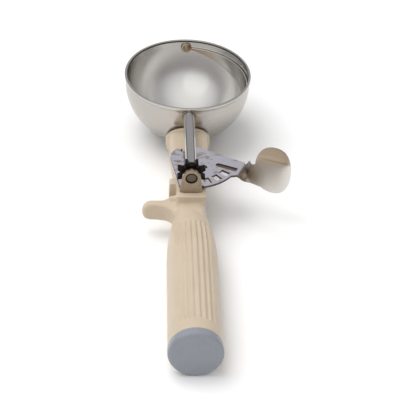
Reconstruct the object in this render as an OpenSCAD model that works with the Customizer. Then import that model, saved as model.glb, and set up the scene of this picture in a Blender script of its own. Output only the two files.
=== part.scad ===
// Lever ice cream scoop: a round portion bowl on a moulded handle. A thumb lever turns a toothed
// plate, the plate turns a pinion and shaft, and the shaft sweeps a thin blade round the bowl.
// Everything is drawn with the bowl's axis at x = 0, y = 0 and the handle running towards -y,
// then moved so that the origin is under the middle of the whole scoop.

/* [Bowl] */
// Inside radius of the half sphere
bowl_r = 33.35; // [32.5:0.05:35]
// Thickness of the bowl's sheet
bowl_wall = 0.8; // [0.6:0.05:1.2]
// Height of the straight band above the half sphere
bowl_band = 4.65; // [3.5:0.05:7]
// Thickness of the lip round the mouth, outward from the inside face
lip_w = 1.35; // [1.2:0.05:2]
// Height of the lip
lip_h = 1.7; // [1.4:0.1:3]

/* [Blade] */
// Thickness of the blade's sheet
blade_t = 0.6; // [0.4:0.05:0.9]
// Running gap between the blade and the bowl
blade_gap = 0.35; // [0.3:0.01:0.8]
// Angle that the blade spans round its axis
blade_angle = 17.4; // [12:0.1:24]
// Angle of the blade's upper edge below the mouth at rest
blade_drop_angle = 1; // [0.5:0.1:4]
// Radius of the round ear at each end of the blade
blade_ear_r = 2.9; // [2.5:0.05:4]
// Radius of the far rivet's shank
rivet_r = 1; // [0.8:0.05:1.3]
// Radius of the far rivet's inner head
rivet_head_r = 1.6; // [1.5:0.05:2.2]
// Height of the rivets' heads
rivet_head_h = 0.5; // [0.3:0.05:0.5]
// Radius of the tenon that the blade is riveted on
tenon_r = 1.6; // [1.2:0.05:1.9]

/* [Drive shaft] */
// Radius of the shaft
shaft_r = 3; // [2.8:0.05:3.4]
// Radius of the shaft's two journals
journal_r = 2.5; // [2:0.05:2.6]
// Outer radius of the two bushes
bush_r = 3.2; // [3:0.05:3.6]
// Radius of the flange of the bush in the bracket
bush_flange_r = 4.3; // [4:0.05:4.8]
// Outer radius of the flange of the bush in the bowl
eyelet_r = 3.7; // [3.6:0.05:4.8]
// Thickness of the bushes' flanges
bush_flange_t = 0.9; // [0.6:0.05:1.1]

/* [Pinion and gear plate] */
// Radius of the pinion's body between the teeth
root_r = 5.2; // [4.8:0.05:5.4]
// Radius over the teeth
tip_r = 7.8; // [7.6:0.05:7.85]
// Width of a tooth at its root
tooth_root_w = 2.2; // [1.8:0.05:2.3]
// Width of a tooth at its round tip
tooth_tip_w = 1.6; // [1.2:0.05:1.7]
// Width of the pinion along the shaft
pinion_w = 3.6; // [3:0.05:3.8]
// Radius of the pinion's cross pin
pinion_pin_r = 0.8; // [0.6:0.05:1]
// Distance from the lever's pivot to the middle of the pinion
mesh_r = 22.4; // [22.2:0.05:22.6]
// Angle between two windows of the gear plate
window_pitch = 15; // [15:0.1:15]
// Width of a window
window_w = 3.4; // [3.2:0.05:3.5]
// Length of a window
window_len = 5; // [4.8:0.05:5.2]

/* [Lever] */
// Thickness of the lever's sheet
lever_t = 1.2; // [1:0.05:1.3]
// Depth of the gear plate's top below the shaft's middle
lever_depth = 6.7; // [6.6:0.05:6.8]
// Radius of the lever round its pivot
hub_r = 10.2; // [9.5:0.1:11]
// Radius of the gear plate's near edge
wing_r = 26.5; // [26:0.05:26.6]
// Angle that the lever turns through
lever_travel = 40; // [30:1:40]
// Direction of the thumb arm
arm_angle = -24; // [-26:0.5:-20]
// Distance from the pivot to the shoulder where the arm turns into the tab
arm_len = 28.3; // [28:0.1:30]
// Distance from the arm's middle line to its far corner
arm_far = 8; // [7:0.1:9]
// Distance from the arm's middle line to its near corner
arm_near = 4.3; // [4:0.1:4.6]
// Radius of the pivot pin
pivot_r = 2; // [1.8:0.05:2.2]
// Radius of the pivot pin's head
pivot_head_r = 3; // [2.8:0.1:3.4]
// Height of the pivot pin's head
pivot_head_h = 1.4; // [1:0.1:1.6]
// Radius of the stop pin
stop_r = 1.6; // [1.2:0.05:1.7]
// Radius of the arc that the stop slot follows
stop_arc_r = 11.5; // [11.3:0.05:12]
// Angle from the handle's line to the stop pin
stop_angle = -1.3; // [-1.5:0.1:3]
// Distance from the pivot to the floor of the notch that the spring pulls on
notch_floor = 4.8; // [4.6:0.05:5.2]
// Width of that notch
notch_w = 4.5; // [3:0.1:5]
// Width of the stamped groove on the arm
bead_w = 3; // [2:0.1:3.6]
// Depth of the stamped groove
bead_depth = 0.5; // [0.2:0.05:0.7]
// Length of the stamped groove between the middles of its round ends
bead_len = 9.8; // [6:0.1:11]
// Distance from the shoulder to the middle of the groove's outer end
bead_end = 2.1; // [2:0.1:4]

/* [Thumb tab] */
// Thickness of the tab's sheet
tab_t = 1.1; // [0.8:0.05:1.15]
// Line that the tab is twisted about, from the arm's middle line
twist_line = -1.05; // [-1.3:0.05:-0.8]
// Width of the twisted neck above that line
neck_up = 4.85; // [4:0.05:5]
// Width of the twisted neck below that line
neck_down = 3.2; // [2.6:0.05:3.2]
// Length over which the neck twists upright
twist_len = 6.5; // [6:0.1:8]
// Distance from the shoulder to where the pad begins
pad_start = 8.9; // [8.5:0.1:11]
// Length of the pad
pad_len = 19.4; // [16:0.1:22]
// Height of the pad's widest line above the twist line
pad_lift = 7.55; // [6.5:0.05:8.5]
// Height of the pad above its widest line
pad_up = 12.9; // [10:0.1:14]
// Height of the pad below its widest line
pad_down = 14.1; // [12:0.1:15]
// How square the pad's outline is
pad_power = 2.4; // [2:0.1:3.2]
// Height of the crease above the twist line
crease_h = 13; // [11:0.1:15]
// Angle that the tab leans back above the crease
lean = 18; // [5:1:25]
// How far the tab's free edge curls back
curl = 0.8; // [0:0.1:1.5]

/* [Handle] */
// Radius of the collar at the bowl
collar_r = 12.05; // [11.5:0.05:12.5]
// Height of the collar's middle above the handle's middle
collar_lift = 1.25; // [0.5:0.05:1.5]
// Radius of the hollow behind the collar
collar_fillet = 4.5; // [3.5:0.1:5]
// Distance from the bowl's axis to the end of the collar
collar_end = 37; // [36:0.1:38]
// Half width of the body under the lever
body_r = 10.1; // [9.8:0.05:10.4]
// Rounding of the body's upper edges
body_round = 2.5; // [1.5:0.1:3]
// Height of the gap between the body's flat top and the lever
lever_rise = 0.95; // [0.6:0.05:1]
// Distance from the bowl's axis to where the left side begins to narrow
neck_start = 43; // [40:0.5:45]
// Distance from the bowl's axis to where the left side is narrow
neck_end = 70; // [68:0.5:74]
// Reach of the narrow neck to the left
neck_left = 6.4; // [6.2:0.1:7.2]
// Distance from the bowl's axis to where the right side begins to narrow
taper_start = 56; // [50:0.5:60]
// Distance from the bowl's axis to where the right side is narrow
taper_end = 76; // [72:0.5:80]
// Reach of the narrow head to the right
head_right = 7.8; // [7.2:0.1:8]
// Reach of the narrow head to the left
head_left = 7.3; // [6.8:0.1:7.8]
// Distance from the bowl's axis to the front face of the head
head_front = 94.65; // [94:0.05:96]
// Reach of the small shoulder to the left
shoulder_left = 11.1; // [10.6:0.1:12]
// Distance from the bowl's axis to the shoulder
shoulder_start = 78.8; // [77:0.1:80]
// Length of the shoulder
shoulder_len = 4.9; // [4:0.1:6]
// Radius of the waist behind the head
waist_r = 7.4; // [7:0.1:8]
// Distance from the bowl's axis to the end of the waist
waist_end = 98; // [97.5:0.1:100]

/* [Grip] */
// Length of the rounding between the waist and the nose
nose_round = 3; // [1.5:0.1:5]
// Distance from the bowl's axis to where the nose runs out into the grip
nose_end = 136; // [130:0.5:142]
// Radius of the grip there
nose_r = 13.05; // [12.4:0.05:13.3]
// Radius of the nose's long curve
nose_arc = 170; // [150:1:200]
// Radius at the end of the grip
grip_r = 13.6; // [13.3:0.05:13.7]
// Distance from the bowl's axis to the end of the grip
grip_end = 200.4; // [190:0.1:210]
// Number of flutes above, and as many below
flutes = 7; // [3:1:9]
// Angle between two flutes
flute_pitch = 13.2; // [12:0.1:14]
// Radius of the round cutter of a flute
flute_r = 1.1; // [0.8:0.05:1.3]
// Depth of a flute
flute_depth = 0.65; // [0.3:0.05:0.8]
// Distance from the bowl's axis to the first end of the flutes
flute_start = 114; // [112:0.5:130]
// Smooth length between the flutes and the cap
flute_margin = 8.5; // [6:0.5:14]
// Radius of the hollow inside the grip
core_r = 9.5; // [8:0.1:10.5]
// Distance from the bowl's axis to the blind end of that hollow
core_start = 118; // [115:0.5:125]

/* [Finger rest] */
// Distance from the bowl's axis to the middle of the finger rest
rest_d = 91.5; // [90:0.1:93]
// Reach of the finger rest to the left
rest_reach = 25.4; // [22:0.1:28]
// Thickness of the finger rest along the handle
rest_t = 5; // [4.6:0.1:8]
// Height of the finger rest
rest_h = 10.5; // [9:0.1:12]
// Radius of the hollow where the rest meets the waist
rest_fillet = 5; // [4:0.1:6]

/* [End cap] */
// Radius of the cap
cap_r = 13.75; // [13.7:0.05:14.2]
// Thickness of the cap at its edge
cap_t = 4.6; // [3.6:0.1:6]
// Rounding of the cap's edge
cap_round = 1.5; // [0.8:0.1:2]
// Rise of the cap's slightly domed face
cap_dome = 0.4; // [0.2:0.05:0.8]
// Length of the cap's plug inside the grip
plug_len = 9; // [6:0.5:14]
// Wall of the plug
plug_wall = 1.8; // [1.2:0.1:3]

/* [Shank] */
// Radius of the steel tang inside the handle
tang_r = 4; // [3.6:0.05:4.4]
// Distance from the bowl's axis to the end of the tang
tang_end = 112; // [100:0.5:114]
// Radius of the saddle welded to the bowl
saddle_r = 9; // [7.5:0.1:10]
// Thickness of the saddle
saddle_t = 1.2; // [0.9:0.05:1.6]

/* [Bracket] */
// Thickness of the bracket's sheet
bracket_t = 1.2; // [1:0.05:1.4]
// Distance from the bowl's axis to the bracket's near face
bracket_front = 90.8; // [90.6:0.05:91.2]
// Half width of the bracket at its base
bracket_base = 5.9; // [5.6:0.05:6.6]
// Half width of the bracket at its round top
bracket_top = 4.9; // [4.7:0.05:5.8]
// Half width of the foot let into the handle
foot_w = 4.5; // [4:0.1:4.8]
// Distance from the bowl's axis to the end of the foot
foot_start = 70.8; // [70.4:0.1:71.5]
// Distance from the bowl's axis to the foot's screw
screw_d = 82.5; // [81:0.1:84]
// Radius of the screw
screw_r = 1.5; // [1.2:0.05:1.8]
// Radius of the screw's sunk head
screw_head_r = 2.8; // [2.5:0.05:3.2]

/* [Spring] */
// Thickness of the spring's wire
wire = 1; // [0.8:0.05:1.1]
// Middle radius of the coil
coil_r = 5.4; // [5.3:0.05:5.5]
// Rise of the coil in one turn
coil_pitch = 1.45; // [1.4:0.01:1.5]
// Number of turns
coil_turns = 2.75; // [1.75:1:2.75]
// Radius of the boss inside the coil
boss_r = 4.3; // [3.8:0.05:4.4]
// Radius of the pocket round the coil
pocket_r = 6.3; // [6.2:0.05:6.5]
// Depth of the pocket
pocket_depth = 6; // [5.8:0.1:6.5]
// Distance from the pivot to the wire's upturned end
leg_r = 7.6; // [7.4:0.05:7.8]
// Direction of the upturned end from the pivot
leg_angle = 124; // [120:1:128]

/* [Fits] */
// Running clearance of a shaft or pin in its hole, on the radius
run_fit = 0.05; // [0.03:0.01:0.08]
// Gap between two pieces that are fixed together
seat_gap = 0.02; // [0.01:0.01:0.05]
// Thickness of the washers of the lever and the pinion
washer_t = 0.8; // [0.6:0.05:0.9]

/* [Hidden] */

$fn = 96;
through = 0.5;                     // how far a cutter stands past the face that it cuts

bowl_out = bowl_r + bowl_wall;
shaft_z = bowl_out;                // the shaft lies on the middle of the half sphere
rim_z = shaft_z + bowl_band;
lip_r = bowl_r + lip_w;
lip_under = rim_z - lip_h - seat_gap;
blade_out = bowl_r - blade_gap;
blade_in = blade_out - blade_t;

grip_z = cap_r;                    // the scoop rests on its bowl and its cap
lever_top = shaft_z - lever_depth;
lever_under = lever_top - lever_t;
body_top = lever_under - lever_rise;
pinion_d = bracket_front - bracket_t - bush_flange_t - washer_t - 1 - pinion_w / 2;
pivot_d = pinion_d - mesh_r;       // distance from the bowl's axis to the lever's pivot
pinion_teeth = 8;
gear_ratio = 360 / pinion_teeth / window_pitch;
cap_tip = grip_end + cap_t + cap_dome;
taper = atan2(grip_r - nose_r, grip_end - nose_end);
nose_mid = [nose_end + nose_arc * sin(taper), nose_r - nose_arc * cos(taper)];

bush_back = bracket_front - bracket_t - bush_flange_t;
washer_back = bush_back - seat_gap - washer_t;
journal_end = bracket_front - 0.4;
hub_back = washer_back - seat_gap;

// Turns sizes along the handle into places: children drawn in x and z, extruded towards the grip
module along_handle(from, to) {
    translate([0, -from, 0]) rotate([90, 0, 0]) linear_extrude(to - from) children();
}

// Spins a profile of radius and distance from the bowl's axis round a line along the handle
module spin_handle(height) {
    translate([0, 0, height]) rotate([90, 0, 0]) rotate_extrude() children();
}

// A round bar along the handle's direction
module bar(r, from, to, height = shaft_z) {
    translate([0, -from, height]) rotate([90, 0, 0]) cylinder(r = r, h = to - from);
}

// A ring along the handle's direction
module bar_ring(r, hole, from, to, height = shaft_z) {
    difference() {
        bar(r, from, to, height);
        bar(hole, from - through, to + through, height);
    }
}

// Places children on the lever's pivot
module at_pivot(height = 0) {
    translate([0, -pivot_d, height]) children();
}

// Direction on the lever at an angle from the handle's line towards the right
function spoke(angle, r) = [r * sin(angle), -r * cos(angle)];

// Point where a line from p touches a circle round the origin, on the side given by turn = 1 or -1
function touch(p, r, turn) =
    let (a = atan2(p.y, p.x) + turn * acos(r / norm(p))) [r * cos(a), r * sin(a)];

// Faces of a closed skin over rings of equal counts of points, with both ends closed
function skin_faces(rings, count) = concat(
    [for (i = [0:rings - 2], j = [0:count - 1])
        let (a = i * count + j, b = i * count + (j + 1) % count) each
            [[a, b, a + count], [b, b + count, a + count]]],
    [for (j = [0:count / 2 - 2]) let (k = count - 1 - j) each
        [[j, k, j + 1], [j + 1, k, k - 1]]],
    [for (j = [0:count / 2 - 2]) let (o = (rings - 1) * count, k = count - 1 - j) each
        [[o + j, o + j + 1, o + k], [o + j + 1, o + k - 1, o + k]]]);

// ---- Bowl -----------------------------------------------------------------------------------

module bowl() {
    color("#a9a59c") difference() {
        rotate_extrude() {
            translate([0, shaft_z]) intersection() {
                difference() { circle(bowl_out); circle(bowl_r); }
                translate([0, -bowl_out]) square(bowl_out);
            }
            translate([bowl_r, shaft_z]) square([bowl_wall, bowl_band]);
            translate([bowl_r, rim_z - lip_h]) lip_section();
        }
        bar(bush_r + seat_gap, bowl_r - 2, bowl_out + 2);
        bar(rivet_r + seat_gap, -bowl_out - 2, -bowl_r + 2);
    }
}

// Section of the lip: flat on top, round outside
module lip_section() {
    round = lip_w - bowl_wall;
    square([lip_w - round, lip_h]);
    translate([0, round]) square([lip_w, lip_h - 2 * round]);
    for (y = [round, lip_h - round]) translate([lip_w - round, y]) circle(round);
}

// Bush in the bowl's wall, with a flange that is flat on top to clear the lip
module bowl_eyelet() {
    color("#6d6a63") difference() {
        union() {
            bar(bush_r, bowl_r, bowl_out + seat_gap + bush_flange_t);
            difference() {
                bar(eyelet_r, bowl_out + seat_gap, bowl_out + seat_gap + bush_flange_t);
                translate([0, -bowl_out, lip_under + eyelet_r]) cube(2 * eyelet_r, center = true);
            }
        }
        bar(journal_r + run_fit, bowl_r - through, bowl_out + 2);
    }
}

// ---- Blade ----------------------------------------------------------------------------------

module blade() {
    color("#b9b7b0") translate([0, 0, shaft_z]) difference() {
        intersection() {
            difference() { sphere(blade_out, $fn = 180); sphere(blade_in, $fn = 180); }
            union() {
                blade_wedge();
                rotate([90, 0, 0]) cylinder(r = blade_ear_r, h = 3 * blade_out, center = true);
            }
        }
        rotate([90, 0, 0]) cylinder(r = tenon_r + seat_gap, h = 2 * blade_out);
        rotate([-90, 0, 0]) cylinder(r = rivet_r + run_fit, h = 2 * blade_out);
    }
}

// Wedge round the shaft's line that cuts the blade's long strip out of the half sphere
module blade_wedge() {
    reach = 2 * blade_out;
    rotate([90, 0, 0]) linear_extrude(2 * reach, center = true)
        polygon([[0, 0], for (share = [0, 0.5, 1]) let (a = blade_drop_angle + share * blade_angle)
            reach * [cos(a), -sin(a)]]);
}

// Distance from the bowl's axis at which a flat head of radius r rests on the blade's inner face
function blade_seat(r) = sqrt(blade_in * blade_in - r * r) - seat_gap;

module blade_rivet() {
    color("#8d7a66") {
        bar(rivet_r, -bowl_out - seat_gap - rivet_head_h / 2,
            -blade_seat(rivet_head_r) + rivet_head_h / 2);
        rivet_head(rivet_head_r, blade_seat(rivet_head_r), -1);
        rivet_head(rivet_head_r * 1.5, bowl_out + seat_gap, 1);
    }
}

// Flat rivet head with a chamfered edge on the far side, rising outward (1) or inward (-1)
module rivet_head(r, at, way) {
    translate([0, at, shaft_z]) rotate([-90 * way, 0, 0]) {
        cylinder(r = r, h = rivet_head_h / 2);
        translate([0, 0, rivet_head_h / 2]) cylinder(r1 = r, r2 = r * 0.75, h = rivet_head_h / 2, $fn = 48);
    }
}

module blade_washer() {
    r = rivet_head_r + 0.5;
    color("#77736a") bar_ring(r, rivet_r + run_fit, -sqrt(bowl_r * bowl_r - r * r) + seat_gap,
                              -blade_out - seat_gap);
}

// ---- Drive shaft and pinion -----------------------------------------------------------------

module drive_shaft() {
    shoulder = bowl_out + seat_gap + bush_flange_t + seat_gap;
    head_r = 1.45 * tenon_r;
    head = blade_seat(head_r);
    color("#a6a29a") difference() {
        union() {
            bar(tenon_r, head - rivet_head_h, blade_out + through);
            bar(head_r, head - rivet_head_h, head);
            bar(journal_r, blade_out + seat_gap, shoulder + through);
            bar(shaft_r, shoulder, hub_back);
            bar(journal_r, hub_back - through, journal_end);
        }
        pinion_pin_hole(pinion_pin_r + seat_gap);
    }
}

module pinion_pin_hole(r) {
    translate([0, -pinion_d, shaft_z]) rotate([0, 90, 0]) cylinder(r = r, h = 3 * root_r, center = true);
}

// One tooth, pointing along +x
module tooth() {
    tip = tooth_tip_w / 2;
    polygon([[root_r / 2, -tooth_root_w / 2], [root_r, -tooth_root_w / 2], [tip_r - tip, -tip],
             [tip_r - tip, tip], [root_r, tooth_root_w / 2], [root_r / 2, tooth_root_w / 2]]);
    translate([tip_r - tip, 0]) circle(tip, $fn = 32);
}

module pinion() {
    pitch = 360 / pinion_teeth;
    color("#4a453f") difference() {
        union() {
            along_handle(pinion_d - pinion_w / 2, pinion_d + pinion_w / 2)
                translate([0, shaft_z]) {
                    circle(root_r);
                    for (i = [0:pinion_teeth - 1]) rotate((i + 0.5) * pitch - 90) tooth();
                }
            bar(bush_flange_r, pinion_d, hub_back);
        }
        bar(shaft_r + seat_gap, pinion_d - pinion_w, hub_back + through);
        pinion_pin_hole(pinion_pin_r + seat_gap);
    }
}

module pinion_pin() {
    color("#77736a") translate([0, -pinion_d, shaft_z]) rotate([0, 90, 0])
        cylinder(r = pinion_pin_r, h = 2 * root_r - 0.4, center = true);
}

module thrust_washer() {
    color("#b79a5c") bar_ring(bush_flange_r, journal_r + run_fit, washer_back, bush_back - seat_gap);
}

// ---- Bracket --------------------------------------------------------------------------------

foot_z = body_top - bracket_t;

module shaft_bracket() {
    color("#8f8a80") difference() {
        union() {
            along_handle(bracket_front - bracket_t, bracket_front) {
                translate([0, shaft_z]) circle(bracket_top);
                polygon([[-bracket_base, body_top + seat_gap], [bracket_base, body_top + seat_gap],
                         [bracket_top, shaft_z], [-bracket_top, shaft_z]]);
                translate([-foot_w, foot_z]) square([2 * foot_w, shaft_z - foot_z]);
            }
            translate([-foot_w, -bracket_front, foot_z])
                cube([2 * foot_w, bracket_front - foot_start, bracket_t]);
        }
        bar(bush_r + seat_gap, bracket_front - 2 * bracket_t, bracket_front + through);
        at_stop() cylinder(r = stop_r + seat_gap, h = 2 * body_top);
        screw_shape(seat_gap);
    }
}

module at_stop() {
    at_pivot() translate(spoke(stop_angle, stop_arc_r)) children();
}

module bracket_bush() {
    color("#4d4842") difference() {
        union() {
            bar(bush_r, bush_back, bracket_front);
            bar(bush_flange_r, bush_back, bush_back + bush_flange_t - seat_gap);
        }
        bar(journal_r + run_fit, bush_back - through, bracket_front + through);
    }
}

screw_len = body_top - grip_z + 1;

// The sunk screw's outline, grown by a clearance
module screw_shape(grow) {
    sink = screw_head_r - screw_r;
    translate([0, -screw_d, body_top]) {
        translate([0, 0, -screw_len - grow]) cylinder(r = screw_r + grow, h = screw_len);
        translate([0, 0, -sink]) cylinder(r1 = screw_r + grow, r2 = screw_head_r + grow, h = sink);
        if (grow > 0) cylinder(r = screw_head_r + grow, h = through);
    }
}

module bracket_screw() {
    slot_w = 0.8;
    color("#9b968c") difference() {
        screw_shape(0);
        translate([-screw_head_r, -screw_d - slot_w / 2, body_top - slot_w])
            cube([2 * screw_head_r, slot_w, 2 * slot_w]);
    }
}

// ---- Shank ----------------------------------------------------------------------------------

module handle_shank() {
    color("#9c978d") difference() {
        union() {
            intersection() {
                translate([0, 0, shaft_z]) sphere(bowl_out + seat_gap + saddle_t, $fn = 180);
                bar(saddle_r, 0, bowl_out, grip_z);
            }
            bar(tang_r, bowl_out / 2, tang_end, grip_z);
        }
        translate([0, 0, shaft_z]) sphere(bowl_out + seat_gap, $fn = 180);
        pivot_stud(seat_gap);
        screw_shape(seat_gap);
        at_stop() translate([0, 0, stop_foot - seat_gap]) cylinder(r = stop_r + seat_gap, h = body_top);
        spring_pocket();
    }
}

// ---- Handle ---------------------------------------------------------------------------------

module handle() {
    color("#d6c7ab") difference() {
        union() {
            collar();
            body();
            finger_rest();
            grip();
        }
        translate([0, 0, shaft_z]) sphere(bowl_out + 3 * seat_gap, $fn = 180);
        shank_room();
        translate([-foot_w - seat_gap, -bracket_front - seat_gap, foot_z - seat_gap])
            cube([2 * foot_w + 2 * seat_gap, bracket_front - foot_start + 2 * seat_gap, 2 * bracket_t]);
        screw_shape(2 * seat_gap);
        pivot_stud(2 * seat_gap);
        at_stop() translate([0, 0, stop_foot - seat_gap]) cylinder(r = stop_r + seat_gap, h = body_top);
        spring_pocket();
        bar(core_r, core_start, grip_end + through, grip_z);
    }
}

module collar() {
    spin_handle(grip_z + collar_lift) difference() {
        square([collar_r, collar_end]);
        translate([body_r + collar_fillet, collar_end]) circle(collar_fillet);
    }
}

// Section of the body: round below, flat above with round edges
module body_section(half) {
    rise = body_top - grip_z;
    intersection() {
        circle(half);
        translate([-2 * half, rise - 4 * half]) square(4 * half);
    }
    translate([-half, 0]) square([2 * half, rise - body_round]);
    translate([body_round - half, 0]) square([2 * (half - body_round), rise]);
    for (x = [-1, 1]) translate([x * (half - body_round), rise - body_round]) circle(body_round);
}

module body() {
    intersection() {
        along_handle(collar_end - 1, head_front) translate([0, grip_z]) body_section(body_r);
        linear_extrude(2 * body_top)
            polygon([[-body_r, 0], [-body_r, -neck_start], [-neck_left, -neck_end],
                     [-neck_left, -shoulder_start - shoulder_len / 2],
                     [-head_left, -shoulder_start - shoulder_len], [-head_left, -head_front],
                     [head_right, -head_front], [head_right, -taper_end], [body_r, -taper_start],
                     [body_r, 0]]);
    }
    along_handle(shoulder_start, shoulder_start + shoulder_len) {
        translate([-shoulder_left, grip_z]) square([shoulder_left, body_top - grip_z - 1]);
        translate([1 - shoulder_left, grip_z]) square([shoulder_left - 1, body_top - grip_z]);
        translate([1 - shoulder_left, body_top - 1]) circle(1);
    }
}

// Lobe on the left that the finger pulls on, hollowed in front and blended into the waist
module finger_rest() {
    half = rest_h / 2;
    front = rest_d + rest_t / 2;
    intersection() {
        along_handle(rest_d - rest_t, front + rest_fillet) {
            translate([half - rest_reach, grip_z]) circle(half);
            translate([half - rest_reach, grip_z - half]) square([rest_reach - half, rest_h]);
        }
        translate([0, 0, grip_z - rest_h]) linear_extrude(2 * rest_h) difference() {
            union() {
                translate([rest_t / 2 - rest_reach, -rest_d]) circle(rest_t / 2);
                translate([rest_t / 2 - rest_reach, -front]) square([rest_reach - rest_t / 2, rest_t]);
                translate([-waist_r - rest_fillet, -front - rest_fillet])
                    square([waist_r + rest_fillet, 2 * rest_fillet]);
            }
            translate([-waist_r - rest_fillet + 0.2, -front - rest_fillet]) circle(rest_fillet);
            translate([-(waist_r + rest_reach) / 2, -front - 4 * rest_reach + 0.5])
                circle(4 * rest_reach, $fn = 360);
        }
    }
}

// Radius of the nose's long curve at a distance d from the bowl's axis
function nose(d) = nose_mid.y + sqrt(nose_arc * nose_arc - pow(d - nose_mid.x, 2));

module grip() {
    steps = 9;
    start = waist_end + nose_round;
    difference() {
        spin_handle(grip_z) polygon([[0, head_front - 1], [waist_r, head_front - 1],
            for (a = [0:15:75]) [waist_r + (nose(start) - waist_r) * sin(a), start - nose_round * cos(a)],
            for (i = [0:steps]) let (d = start + (nose_end - start) * i / steps) [nose(d), d],
            [grip_r, grip_end], [0, grip_end]]);
        for (side = [0, 180], i = [0:flutes - 1])
            translate([0, 0, grip_z]) rotate([0, side + (i - (flutes - 1) / 2) * flute_pitch, 0])
                flute();
    }
}

// One flute: a groove down the nose, widening slightly, that runs into one along the grip's taper
module flute() {
    sides = 16;
    lap = 1;                       // how far the two stretches run into each other
    widen = 0.02;
    sink = flute_r - flute_depth;
    tilt = atan2(nose_r - nose(flute_start), nose_end - flute_start);
    len = grip_end - flute_margin - nose_end;
    translate([0, -flute_start, nose(flute_start) + sink]) rotate([90 - tilt, 0, 0]) {
        cylinder(r1 = flute_r, r2 = flute_r + widen, h = (nose_end - flute_start) / cos(tilt) + lap,
                 $fn = sides);
        sphere(flute_r, $fn = sides);
    }
    translate([0, -nose_end, nose_r + sink]) rotate([90 - taper, 0, 0]) {
        translate([0, 0, -lap]) cylinder(r = flute_r, h = len + lap, $fn = sides);
        translate([0, 0, len]) sphere(flute_r, $fn = sides);
    }
}

// Room for the saddle and the tang
module shank_room() {
    intersection() {
        translate([0, 0, shaft_z]) sphere(bowl_out + saddle_t + 3 * seat_gap, $fn = 180);
        bar(saddle_r + seat_gap, 0, bowl_out, grip_z);
    }
    bar(tang_r + seat_gap, bowl_out / 2, tang_end + seat_gap, grip_z);
}

// Round room for the coil, with a wider notch above where the upturned end sweeps
module spring_pocket() {
    margin = 12;
    at_pivot(body_top - pocket_depth) {
        difference() {
            cylinder(r = pocket_r, h = pocket_depth + through);
            cylinder(r = boss_r, h = pocket_depth);
        }
        translate(coil_foot()) translate([0, 0, -leg_down]) cylinder(r = wire / 2 + 0.15, h = leg_down + 1);
        translate([0, 0, coil_low() + coil_rise() - wire]) rotate([0, 0, leg_angle - lever_travel - margin])
            rotate_extrude(angle = lever_travel + 2 * margin)
                translate([boss_r + 1, 0]) square([leg_r + wire - boss_r - 1, pocket_depth]);
    }
}

module end_cap() {
    dome_r = (cap_r * cap_r + cap_dome * cap_dome) / (2 * cap_dome);
    color("#8b8f96") spin_handle(grip_z) {
        intersection() {
            union() {
                translate([0, grip_end + seat_gap]) square([cap_r, cap_t - cap_round - seat_gap]);
                translate([0, grip_end + seat_gap]) square([cap_r - cap_round, cap_t + cap_dome]);
                translate([cap_r - cap_round, grip_end + cap_t - cap_round]) circle(cap_round);
            }
            translate([0, cap_tip - dome_r]) circle(dome_r, $fn = 720);
        }
        translate([core_r - seat_gap - plug_wall, grip_end - plug_len])
            square([plug_wall, plug_len + 1]);
    }
}

// ---- Lever ----------------------------------------------------------------------------------

arm_dir = [cos(arm_angle), sin(arm_angle)];
arm_side = [-sin(arm_angle), cos(arm_angle)];
far_corner = arm_len * arm_dir + arm_far * arm_side;
near_corner = arm_len * arm_dir - arm_near * arm_side;
wing_left = spoke(-12.6, wing_r);  // where the gear plate's left side meets its round near edge
arm_root = spoke(44, 0.88 * wing_r); // where the arm's near edge sets out, inside the gear plate
hub_left = touch(wing_left, hub_r, -1);
hub_far = touch(far_corner, hub_r, 1);

module lever() {
    color("#a7a6ab") at_pivot() {
        difference() {
            translate([0, 0, lever_under]) linear_extrude(lever_t) difference() {
                lever_outline();
                circle(pivot_r + run_fit);
                stop_slot();
                for (i = [0:3]) window((i + 0.5) * window_pitch);
                side_opening();
                spring_notch();
            }
            translate([0, 0, lever_top - bead_depth]) linear_extrude(lever_t) bead();
        }
        thumb_tab();
    }
}

module lever_outline() {
    circle(hub_r);
    intersection() {
        circle(wing_r, $fn = 180);
        polygon([[0, 0], hub_left, hub_left + 1.5 * (wing_left - hub_left),
                 for (a = [20, 60]) spoke(a, 1.5 * wing_r)]);
    }
    polygon([[0, 0], arm_root, near_corner, far_corner, hub_far]);
}

// Window that a tooth drops into
module window(angle) {
    rotate(angle) translate([-window_w / 2, -mesh_r - window_len / 2]) square([window_w, window_len]);
}

// Open side left of the driving bar: the first window and a long slot up the plate's left side
module side_opening() {
    edge = wing_left - hub_left;
    strip = 1.5;
    intersection() {
        window(-window_pitch / 2);
        translate(hub_left) rotate(atan2(edge.y, edge.x)) translate([0, strip]) square(wing_r);
    }
    translate(hub_left) rotate(atan2(edge.y, edge.x)) translate([0.33 * norm(edge), 1.6 * strip])
        square([0.53 * norm(edge), 1.6 * strip]);
}

// Notch in the hub's edge; the spring's upturned end presses on its left side
module spring_notch() {
    rotate(leg_angle) translate([notch_floor, wire / 2 + run_fit - notch_w]) square([hub_r, notch_w]);
}

// Curved slot that the stop pin stands in
module stop_slot() {
    half = stop_r + 0.2;
    for (a = [stop_angle, stop_angle + lever_travel]) translate(spoke(a, stop_arc_r)) circle(half);
    intersection() {
        difference() { circle(stop_arc_r + half); circle(stop_arc_r - half); }
        polygon([[0, 0], for (k = [0:2]) spoke(stop_angle + k * lever_travel / 2, 2 * stop_arc_r)]);
    }
}

// Stamped groove along the arm
module bead() {
    rotate(arm_angle) translate([arm_len - bead_end - bead_len, 0]) {
        translate([0, -bead_w / 2]) square([bead_len, bead_w]);
        for (x = [0, bead_len]) translate([x, 0]) circle(bead_w / 2);
    }
}

// The tab is one sheet: a strip that twists upright and widens into the thumb pad. A point on it is
// found from s, along the arm past the shoulder, and w, across the sheet from the twist line.
pad_mid = pad_start + pad_len / 2;
flat_start = -1.5;                 // the sheet starts flat inside the arm's end and leaves it flat
flat_end = 0.4;

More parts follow.
